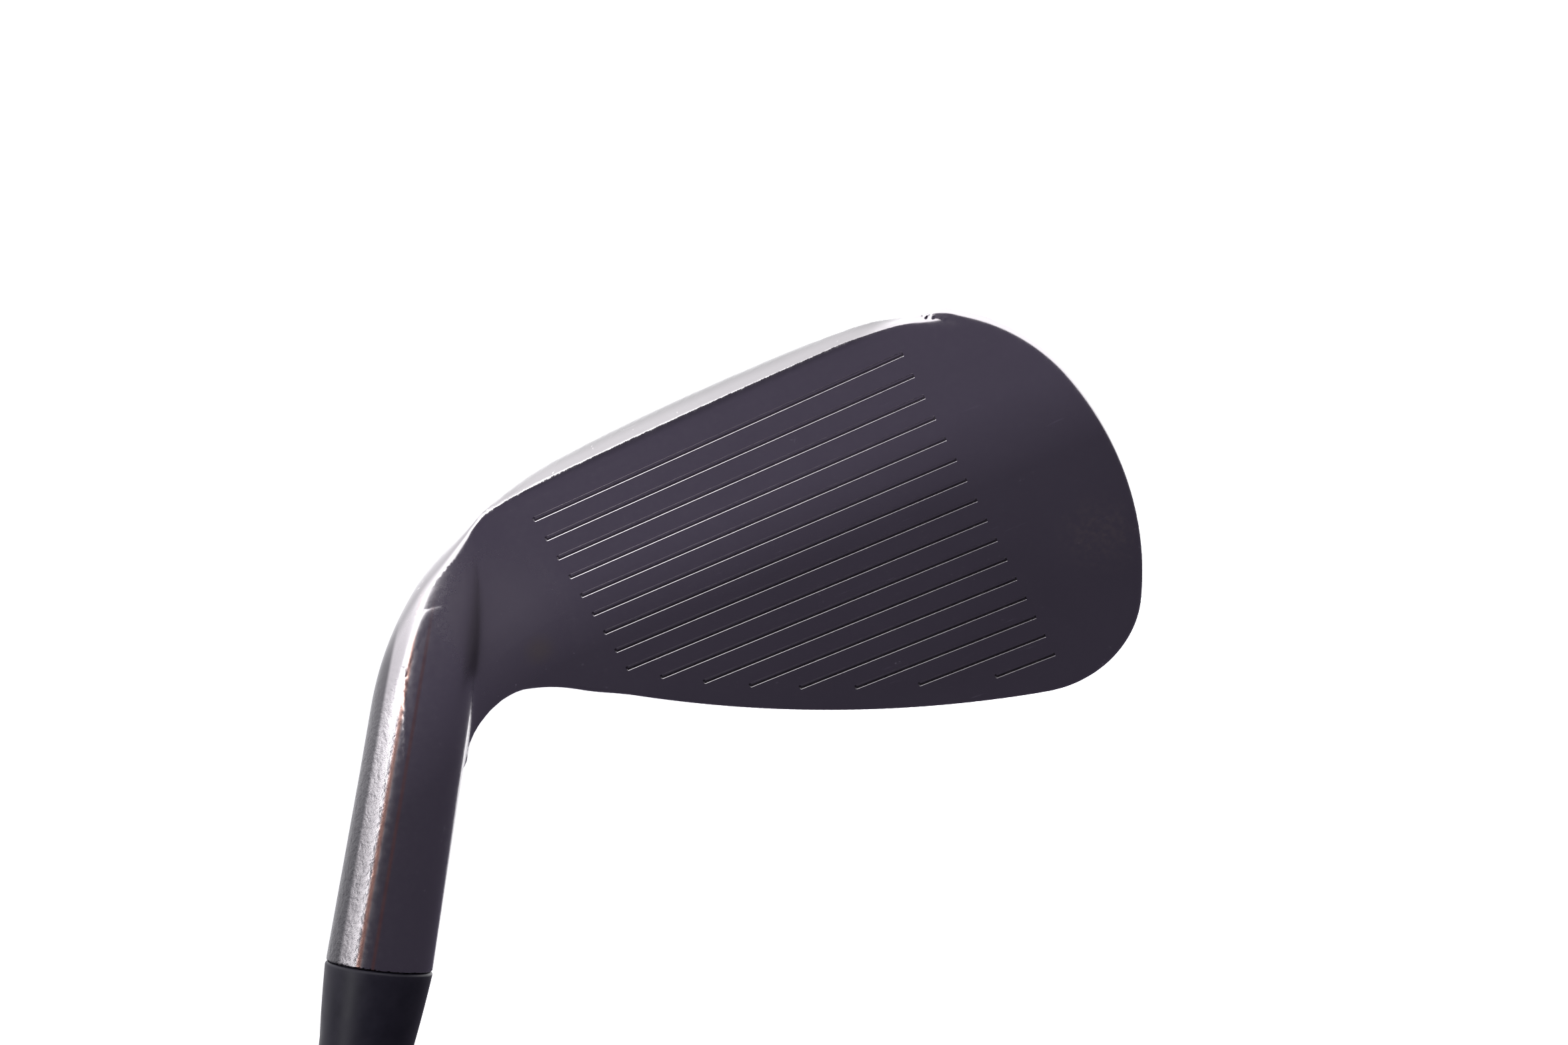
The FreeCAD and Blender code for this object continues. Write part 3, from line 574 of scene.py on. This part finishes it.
def bend(centre, radius, start, end, steps=6):
    """Points on an arc of a profile, its angles measured in degrees from straight out."""
    turns = [math.radians(start + (end - start) * i / steps) for i in range(steps + 1)]
    return [(centre[0] + radius * math.sin(t), centre[1] + radius * math.cos(t)) for t in turns]


def make_ferrule():
    """A collar that tapers in two slopes, with a small round at its foot and its top."""
    round_foot, bulge_radius, top_radius, bore = 0.45, 6.0, 4.98, 4.71
    outer = bend((HOSEL_TOP + round_foot, FERRULE_RADIUS - round_foot), round_foot, -90, 0)
    for i in range(1, 13):
        t = i / 12
        fall = (FERRULE_RADIUS - bulge_radius) * (0.75 * t + 0.25 * t * t)
        outer.append((HOSEL_TOP + round_foot + (FERRULE_BULGE - round_foot) * t, FERRULE_RADIUS - fall))
    for i in range(1, 11):
        t = i / 10
        outer.append((HOSEL_TOP + FERRULE_BULGE + 14.1 * t, bulge_radius - (t * 0.9 + 0.1 * t * t)))
    outer += bend((HOSEL_TOP + FERRULE_LENGTH - 0.3, top_radius - 0.3), 0.3, 30, 90, 4)[1:]
    inner = [(HOSEL_TOP + FERRULE_LENGTH, bore), (HOSEL_TOP, bore)]
    return turned("ferrule_collar", outer + inner, 128)


def make_shaft():
    """A tube whose outside grows in steps, each a short smooth rise."""
    gain = (SHAFT_BUTT_RADIUS - SHAFT_TIP_RADIUS) / STEPS
    outer = [(SHAFT_FOOT, SHAFT_TIP_RADIUS)]
    for n in range(STEPS):
        foot = STEP_FIRST + n * STEP_PITCH
        low = SHAFT_TIP_RADIUS + n * gain
        for t in (0, 0.15, 0.35, 0.65, 0.85, 1):
            outer.append((foot + STEP_RUN * t, low + gain * float(ease(t))))
    outer.append((SHAFT_TOP, SHAFT_BUTT_RADIUS))
    tip_bore, butt_bore, last = 3.95, 7.27, STEP_FIRST + (STEPS - 1) * STEP_PITCH
    inner = [(SHAFT_TOP, butt_bore), (last, butt_bore), (STEP_FIRST, tip_bore), (SHAFT_FOOT, tip_bore)]
    return turned("steel_shaft", outer + inner)


def grip_radius(s):
    """The grip's taper, and its flare towards the cap."""
    flare = SHAFT_TOP - 14
    mouth = GRIP_MOUTH + GRIP_ROUND
    if s < flare:
        return GRIP_MOUTH_RADIUS + 3.6 * (s - mouth) / (flare - mouth)
    if s < SHAFT_TOP - 4:
        return 13.2 + 1.7 * float(ease((s - flare) / 10))
    return GRIP_END_RADIUS


def grip_groove(zone, turn):
    """How deep the moulding is cut, at a distance from the mouth and a turn round the axis."""
    if 3 < zone < 14:
        return 0.3 * (0.5 - 0.5 * math.cos(2 * math.pi * (zone - 3) / 2.75))
    if 20 < zone < 235:
        share = min((zone - 20) / 4, (235 - zone) / 4, 1.0)
        a = 18 * turn + 2 * math.pi * zone / 10
        b = 18 * turn - 2 * math.pi * zone / 10
        line = max(math.cos(a), math.cos(b))
        return 0.28 * share * max(0.0, (line - 0.72) / 0.28)
    if 239 < zone < 247:
        return 0.3 * (0.5 - 0.5 * math.cos(2 * math.pi * (zone - 239) / 2.6667))
    return 0.0


def make_grip():
    """The sleeve, with a moulded lattice between plain bands."""
    segments, rows = 144, 560
    turns = [2 * math.pi * k / segments for k in range(segments)]
    low = GRIP_MOUTH_RADIUS - GRIP_ROUND
    rings = [(GRIP_MOUTH, TAPE_RADIUS), (GRIP_MOUTH, low)]
    rings += bend((GRIP_MOUTH + GRIP_ROUND, low), GRIP_ROUND, -90, 0, 5)[1:]
    points = [on_axis(s, r, turn) for s, r in rings for turn in turns]
    for i in range(1, rows):
        s = GRIP_MOUTH + GRIP_ROUND + (SHAFT_TOP - GRIP_MOUTH - GRIP_ROUND) * i / rows
        out = grip_radius(s)
        points += [on_axis(s, out - grip_groove(s - GRIP_MOUTH, turn), turn) for turn in turns]
    points += [on_axis(SHAFT_TOP, r, turn) for r in (GRIP_END_RADIUS, TAPE_RADIUS) for turn in turns]
    faces = ring_faces(len(points) // segments, segments, True)
    return finished(make_mesh("rubber_sleeve", points, faces), 50)


def make_cap():
    """The butt cap, with a shallow ring round its vent."""
    outer = [(SHAFT_TOP, GRIP_END_RADIUS)] + bend((CAP_TOP - 1.4, 13.35), 1.25, 0, 90, 8)
    ring = [(CAP_TOP, 11.2), (CAP_TOP - 0.35, 10.9), (CAP_TOP - 0.35, 10.3), (CAP_TOP, 10.0)]
    vent = [(CAP_TOP, 2.0), (CAP_TOP - 0.3, 1.62), (SHAFT_TOP, 1.6)]
    return turned("end_cap", outer + ring + vent, 128)


def make_band():
    """A plain sleeve of film round the shaft, with softened ends."""
    bore, soft = SHAFT_BUTT_RADIUS, 0.05
    outside = bore + 0.10
    loop = [(BAND_FOOT, bore), (BAND_FOOT + soft, outside), (BAND_TOP - soft, outside), (BAND_TOP, bore)]
    return turned("plain_band", loop)


def make_badge():
    """A thin plate in the cavity, with a raised border round a shallow panel."""
    inset, floor, thick, corner = 5.4, 3.3, 1.2, 4.6
    centre = np.array((-6.0, 33.0))
    turns = [2 * math.pi * k / 400 for k in range(400)]

    def field(q, extra):
        p = np.pad(q, ((0, 0), (0, 1)))
        edge = outline(p)
        heel = (q[:, 0] - (CAVITY_HEEL - 0.4), np.broadcast_to((1.0, 0.0, 0.0), p.shape))
        foot = (CAVITY_FOOT + 0.4 - q[:, 1], np.broadcast_to((0.0, -1.0, 0.0), p.shape))
        return both(both((edge[0] + inset, edge[1]), foot, corner), heel, corner)[0] + extra

    def loop(extra):
        away = np.array([(math.cos(t), math.sin(t)) for t in turns])
        near, far = np.zeros(len(turns)), np.full(len(turns), 60.0)
        for _ in range(40):
            mid = (near + far) / 2
            inside = field(centre + away * mid[:, None], extra) < 0
            near, far = np.where(inside, mid, near), np.where(inside, far, mid)
        return centre + away * near[:, None]

    rings = [(0.0, -floor), (0.0, -floor - thick + 0.15), (0.15, -floor - thick)]
    rings += [(1.2, -floor - thick), (1.5, -floor - thick + 0.35)]
    points = [(a, b, z) for extra, z in rings for a, b in loop(extra + 0.02)]
    n = len(turns)
    faces = ring_faces(len(rings), n, False)
    faces.append(tuple(range(n)))
    faces.append(tuple(reversed(range((len(rings) - 1) * n, len(rings) * n))))
    return finished(make_mesh("badge_plate", to_world(np.array(points)), faces), 30)


# ---------------------------------------------------------------- materials

def new_material(name):
    material = bpy.data.materials.new(name)
    material.use_nodes = True
    tree = material.node_tree
    return material, tree, tree.nodes["Principled BSDF"]


def coordinates(tree, stretch=(1, 1, 1)):
    where = tree.nodes.new("ShaderNodeTexCoord")
    mapping = tree.nodes.new("ShaderNodeMapping")
    mapping.inputs["Scale"].default_value = stretch
    tree.links.new(where.outputs["Object"], mapping.inputs["Vector"])
    return mapping.outputs["Vector"]


def noise(tree, vector, scale, detail=4.0):
    node = tree.nodes.new("ShaderNodeTexNoise")
    node.inputs["Scale"].default_value = scale
    node.inputs["Detail"].default_value = detail
    node.inputs["Roughness"].default_value = 0.6
    tree.links.new(vector, node.inputs["Vector"])
    return node.outputs["Fac"]


def ramp(tree, value, stops):
    node = tree.nodes.new("ShaderNodeValToRGB")
    elements = node.color_ramp.elements
    while len(elements) < len(stops):
        elements.new(0.5)
    for element, (spot, colour) in zip(elements, stops):
        element.position = spot
        element.color = (*colour, 1) if isinstance(colour, tuple) else (colour, colour, colour, 1)
    tree.links.new(value, node.inputs["Fac"])
    return node.outputs["Color"]


def bump(tree, height, strength, distance_m, normal=None):
    """A bumped normal, laid over another one if that is given."""
    node = tree.nodes.new("ShaderNodeBump")
    node.inputs["Strength"].default_value = strength
    node.inputs["Distance"].default_value = distance_m
    tree.links.new(height, node.inputs["Height"])
    if normal is not None:
        tree.links.new(normal, node.inputs["Normal"])
    return node.outputs["Normal"]


def simple(name, dark, light, rough, metal=0.0, scale=400, bumps=0.0):
    """A material whose colour, gloss and bumps vary finely from place to place."""
    material, tree, shader = new_material(name)
    vector = coordinates(tree)
    cloud = noise(tree, vector, scale)
    gloss = ramp(tree, cloud, [(0.25, rough * 0.85), (0.75, rough * 1.15)])
    tree.links.new(ramp(tree, cloud, [(0.3, dark), (0.7, light)]), shader.inputs["Base Color"])
    tree.links.new(gloss, shader.inputs["Roughness"])
    shader.inputs["Metallic"].default_value = metal
    if bumps:
        fine = noise(tree, vector, scale * 3)
        tree.links.new(bump(tree, fine, bumps, 0.0002), shader.inputs["Normal"])
    return material


def along(tree, vector, origin, direction):
    """Millimetres from a point along a direction."""
    rel = tree.nodes.new("ShaderNodeVectorMath")
    rel.operation = "SUBTRACT"
    rel.inputs[1].default_value = [v * MM for v in origin]
    tree.links.new(vector, rel.inputs[0])
    dot = tree.nodes.new("ShaderNodeVectorMath")
    dot.operation = "DOT_PRODUCT"
    dot.inputs[1].default_value = [v / MM for v in direction]
    tree.links.new(rel.outputs[0], dot.inputs[0])
    return dot.outputs["Value"]


def fade(tree, value, start, end, low=0.0, high=1.0):
    """A smooth change from low at start to high at end."""
    node = tree.nodes.new("ShaderNodeMapRange")
    node.interpolation_type = "SMOOTHSTEP"
    for name, number in (("From Min", start), ("From Max", end), ("To Min", low), ("To Max", high)):
        node.inputs[name].default_value = number
    tree.links.new(value, node.inputs["Value"])
    return node.outputs["Result"]


def times(tree, a, b):
    node = tree.nodes.new("ShaderNodeMath")
    node.operation = "MULTIPLY"
    for socket, value in zip(node.inputs, (a, b)):
        if isinstance(value, (int, float)):
            socket.default_value = value
        else:
            tree.links.new(value, socket)
    return node.outputs[0]


def blend(tree, share, base, colour, mode="MIX"):
    """A colour laid over a base by a share, each of them a socket or a constant."""
    node = tree.nodes.new("ShaderNodeMixRGB")
    node.blend_type = mode
    for socket, value in zip(node.inputs, (share, base, colour)):
        if isinstance(value, float):
            socket.default_value = value
        elif isinstance(value, tuple):
            socket.default_value = (*value, 1)
        else:
            tree.links.new(value, socket)
    return node.outputs["Color"]


def patch(tree, vector, x, y, size):
    """One in the middle of a soft round patch on the face, nought outside it."""
    centre = to_world(np.array([[x, y, 0.0]]))[0] / MM
    rel = tree.nodes.new("ShaderNodeVectorMath")
    rel.operation = "DISTANCE"
    rel.inputs[1].default_value = [v * MM for v in centre]
    tree.links.new(vector, rel.inputs[0])
    return fade(tree, rel.outputs["Value"], size * MM, 0.2 * size * MM)


def head_material():
    """Dark satin plating with painted light: lighter near the sole as a painted sheen, painted shade on
    the heel's underside and one hosel side, painted reflections as tints and streaks; scuffed on the
    face, brushed and peened on the hosel.
    """
    material, tree, shader = new_material("dark_satin_plate")
    vector = coordinates(tree)
    face_y = along(tree, vector, FACE_FOOT, UP)
    face_x = along(tree, vector, FACE_FOOT, RIGHT)
    axial = along(tree, vector, AXIS_FOOT, AXIS)
    sideways = along(tree, vector, AXIS_FOOT, np.cross(AXIS, VIEW_AHEAD))

    # The face is painted lighter towards the sole, a painted sheen; the back is a darker tone; the heel's
    # downward faces and one hosel side get painted shade; the leading edge is darker.
    # Painted sheen: the base colour rises towards the sole so that its reflection shows brighter there.
    sheen_tones = [(0.0, 0.40), (0.2, 0.38), (0.5, 0.235), (1.0, 0.195)]
    sheen_tones = [(spot, (tone, tone * 0.955, tone * 0.99)) for spot, tone in sheen_tones]
    colour = ramp(tree, fade(tree, face_y, 0, 50), sheen_tones)
    behind = fade(tree, along(tree, vector, FACE_FOOT, NORMAL), -0.6, -2.5)
    colour = blend(tree, behind, colour, (0.24, 0.235, 0.24))
    cloud = noise(tree, vector, 60, 4)
    facing = tree.nodes.new("ShaderNodeNewGeometry")
    split = tree.nodes.new("ShaderNodeSeparateXYZ")
    tree.links.new(facing.outputs["Normal"], split.inputs["Vector"])
    # Painted shade: faces that turn downward near the heel are darkened.
    below = times(tree, fade(tree, split.outputs["Z"], -0.22, -0.42), fade(tree, face_x, 22, 36))
    colour = blend(tree, times(tree, below, 0.55), colour, (0.05, 0.05, 0.055))
    # Painted shade: one side of the hosel, as seen along the camera's direction, is darkened.
    outer = times(tree, fade(tree, sideways, -3.7, -4.3), fade(tree, axial, 14, 24))
    colour = blend(tree, times(tree, outer, 0.8), colour, (0.04, 0.04, 0.045))
    colour = blend(tree, fade(tree, face_y, 0.9, -0.3, 0.0, 0.55), colour, (0.12, 0.12, 0.12))
    shading = ramp(tree, cloud, [(0.3, 0.93), (0.7, 1.0)])
    colour = blend(tree, 1.0, colour, shading, "MULTIPLY")

    # Wear: pale specks in loose groups, brushed lines and a scuff on the toe. Then painted reflections:
    # reddish and yellowish tints near the heel and reddish streaks down the hosel.
    fine = noise(tree, vector, 1300, 5)
    zone = fade(tree, noise(tree, vector, 110, 2), 0.5, 0.68)
    specks = times(tree, fade(tree, fine, 0.66, 0.74), zone)
    colour = blend(tree, times(tree, specks, 0.5), colour, (0.9, 0.88, 0.86))
    brushed = noise(tree, coordinates(tree, (160, 1900, 1900)), 1.0, 5)
    colour = blend(tree, times(tree, fade(tree, brushed, 0.66, 0.78), 0.22), colour, (0.7, 0.68, 0.7))
    worn = times(tree, patch(tree, vector, -39.4, 37.4, 7.0), fade(tree, fine, 0.35, 0.7))
    colour = blend(tree, times(tree, worn, 0.3), colour, (0.36, 0.32, 0.25))
    # Painted reflections: two soft reddish and yellowish patches near the heel.
    warm_reflections = ((41.0, 16.2, 3.4, (0.55, 0.2, 0.14)), (36.6, 20.7, 3.6, (0.42, 0.36, 0.14)))
    for x, y, size, tint in warm_reflections:
        colour = blend(tree, times(tree, patch(tree, vector, x, y, size), 0.3), colour, tint)
    # Painted reflections: reddish streaks down the hosel, set across it by the camera's direction.
    for middle, width, strength in ((-1.26, 0.5, 0.55), (0.54, 0.4, 0.45)):
        left = fade(tree, sideways, middle - width, middle)
        right = fade(tree, sideways, middle + width, middle)
        reflection_streak = times(tree, times(tree, left, right), fade(tree, axial, 12, 24))
        colour = blend(tree, times(tree, reflection_streak, strength), colour, (0.42, 0.17, 0.10))
    tree.links.new(colour, shader.inputs["Base Color"])
    shader.inputs["Metallic"].default_value = 1.0

    # Gloss: satin, rougher on the hosel's heel side and in the valley beside it.
    heel_side = times(tree, fade(tree, sideways, -1.0, -3.0), fade(tree, axial, 6, 16))
    satin = ramp(tree, fine, [(0.3, 0.17), (0.75, 0.25)])
    satin = blend(tree, times(tree, heel_side, 0.5), satin, (0.32, 0.32, 0.32))
    valley = patch(tree, vector, 40.5, 14.0, 15.0)
    tree.links.new(blend(tree, valley, satin, (0.42, 0.42, 0.42)), shader.inputs["Roughness"])

    # Relief: a fine grain, peening on the hosel and small dents along the leading edge.
    peened = times(tree, times(tree, heel_side, fade(tree, axial, 22, 36)), fine)
    edge = times(tree, fade(tree, face_y, 1.6, 0.4), fade(tree, face_x, 40, 30))
    dents = times(tree, edge, noise(tree, vector, 500, 3))
    grain = bump(tree, fine, 0.03, 0.0001)
    relief = bump(tree, dents, 0.35, 0.0003, bump(tree, peened, 0.9, 0.00025, grain))
    tree.links.new(relief, shader.inputs["Normal"])
    return material


# ---------------------------------------------------------------- pieces in place

def place(piece, node, material):
    """Shows a piece instead of the CAD's node, with its material."""
    piece.data.materials.clear()
    piece.data.materials.append(material)
    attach(piece, "root")
    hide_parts(node)


collar = simple("black_collar", (0.008, 0.0075, 0.012), (0.012, 0.011, 0.017), 0.45)
collar.node_tree.nodes["Principled BSDF"].inputs["Specular IOR Level"].default_value = 0.15
chrome = simple("bright_chrome", (0.5, 0.5, 0.51), (0.6, 0.6, 0.61), 0.12, 1.0, 120)
rubber = simple("grip_black", (0.012, 0.012, 0.013), (0.022, 0.022, 0.023), 0.75, 0, 900, 0.3)
cap_rubber = simple("cap_black", (0.010, 0.010, 0.011), (0.018, 0.018, 0.019), 0.6, 0, 700, 0.15)
film = simple("band_grey", (0.10, 0.11, 0.12), (0.15, 0.16, 0.17), 0.35, 0.2, 500)
plate = simple("badge_grey", (0.2, 0.2, 0.21), (0.28, 0.28, 0.29), 0.3, 1.0, 300)
place(make_head(), "club_head", head_material())
place(make_ferrule(), "ferrule", collar)
place(make_shaft(), "shaft", chrome)
place(make_grip(), "grip", rubber)
place(make_cap(), "grip_cap", cap_rubber)
place(make_band(), "shaft_band", film)
place(make_badge(), "cavity_badge", plate)

# The pieces that are shown as designed only get a material.
plain = {
    "toe_weight": simple("weight_grey", (0.2, 0.19, 0.18), (0.27, 0.26, 0.25), 0.35, 1.0, 500),
    "badge_tape": simple("foam_black", (0.02, 0.02, 0.02), (0.035, 0.035, 0.035), 0.9, 0, 800, 0.3),
    "hosel_epoxy": simple("amber_glue", (0.3, 0.24, 0.13), (0.38, 0.31, 0.18), 0.45, 0, 300),
    "tip_weight": simple("brass_plug", (0.55, 0.4, 0.16), (0.65, 0.49, 0.22), 0.3, 1.0, 300),
    "grip_tape": simple("crepe_tape", (0.5, 0.45, 0.34), (0.62, 0.57, 0.45), 0.85, 0, 600, 0.3),
}
for node, material in plain.items():
    shown = frame["nodes"][node].data.materials
    shown.clear()
    shown.append(material)

# ---------------------------------------------------------------- the set

# A pale floor well below the club, curved up behind it. It glows, less beyond the heel.
FLOOR_DROP, FLOOR_HALF, FLOOR_FRONT, FLOOR_BACK, COVE = 0.42, 8, -1.4, 3.6, 0.4
floor_z = first_box[0].z - FLOOR_DROP
line = [(FLOOR_FRONT, 0.0), (FLOOR_BACK, 0.0)]
for step in range(1, 11):
    turn = step * math.pi / 20
    line.append((FLOOR_BACK + COVE * math.sin(turn), COVE - COVE * math.cos(turn)))
points = [(x, y, floor_z + z) for y, z in line for x in (-FLOOR_HALF, FLOOR_HALF)]
faces = [(2 * i, 2 * i + 1, 2 * i + 3, 2 * i + 2) for i in range(len(line) - 1)]
floor = make_mesh("floor", points, faces)
pale = simple("pale_floor", (0.86, 0.86, 0.87), (0.90, 0.90, 0.91), 0.8, 0, 3)
tree = pale.node_tree
glow = tree.nodes["Principled BSDF"]
glow.inputs["Emission Color"].default_value = (1.0, 1.0, 1.0, 1)
where = tree.nodes.new("ShaderNodeTexCoord")
split = tree.nodes.new("ShaderNodeSeparateXYZ")
fall = tree.nodes.new("ShaderNodeMapRange")
for name, value in {"From Min": 0.35, "From Max": 0.75, "To Min": 2.5, "To Max": 1.05}.items():
    fall.inputs[name].default_value = value
tree.links.new(where.outputs["Object"], split.inputs["Vector"])
tree.links.new(split.outputs["X"], fall.inputs["Value"])
tree.links.new(fall.outputs["Result"], glow.inputs["Emission Strength"])
floor.data.materials.append(pale)

# The room is dark violet in reflections and white where it is seen directly.
world = bpy.data.worlds.new("studio")
world.use_nodes = True
bpy.context.scene.world = world
tree = world.node_tree
background = tree.nodes["Background"]
background.inputs["Color"].default_value = (0.15, 0.132, 0.19, 1)
bright = tree.nodes.new("ShaderNodeBackground")
bright.inputs["Color"].default_value = (1.0, 1.0, 1.0, 1)
bright.inputs["Strength"].default_value = 2.0
rays = tree.nodes.new("ShaderNodeLightPath")
choice = tree.nodes.new("ShaderNodeMixShader")
tree.links.new(rays.outputs["Is Camera Ray"], choice.inputs["Fac"])
tree.links.new(background.outputs[0], choice.inputs[1])
tree.links.new(bright.outputs[0], choice.inputs[2])
tree.links.new(choice.outputs[0], tree.nodes["World Output"].inputs["Surface"])

AIM = Vector(to_world(np.array([[45.0, 12.0, 5.0]]))[0])


def strip(name, direction, far, width, height, power, long_side):
    """A soft box turned to the head, its long side along the given direction."""
    light = bpy.data.lights.new(name, "AREA")
    light.shape = "RECTANGLE"
    light.size, light.size_y, light.energy = width, height, power
    lamp = bpy.data.objects.new(name, light)
    back = Vector(direction).normalized()
    tall = (Vector(long_side) - Vector(long_side).project(back)).normalized()
    axes = Matrix((tall.cross(back), tall, back)).transposed().to_4x4()
    lamp.matrix_world = Matrix.Translation(AIM + back * far) @ axes
    bpy.context.scene.collection.objects.link(lamp)


strip("heel_strip", (0.34, -0.92, -0.18), 1.2, 0.34, 1.9, 15, AXIS)

# The camera stands before the toe, a little above the head and upside down, so the shaft hangs.
camera = bpy.data.cameras.new("view")
camera.lens = 38.4
camera.sensor_width = 36
camera.clip_start, camera.clip_end = 0.01, 50
eye = bpy.data.objects.new("view", camera)
across = Vector((-0.88641, 0.35691, 0.29477))
down = Vector((0.38034, 0.19864, 0.90326))
ahead = Vector((0.26384, 0.91277, -0.31182))
turn = Matrix((across, -down, -ahead)).transposed().to_4x4()
eye.matrix_world = Matrix.Translation(Vector((-0.06075, -0.19666, 0.08686))) @ turn
bpy.context.scene.collection.objects.link(eye)
bpy.context.scene.camera = eye
bpy.context.scene.view_settings.view_transform = "Standard"
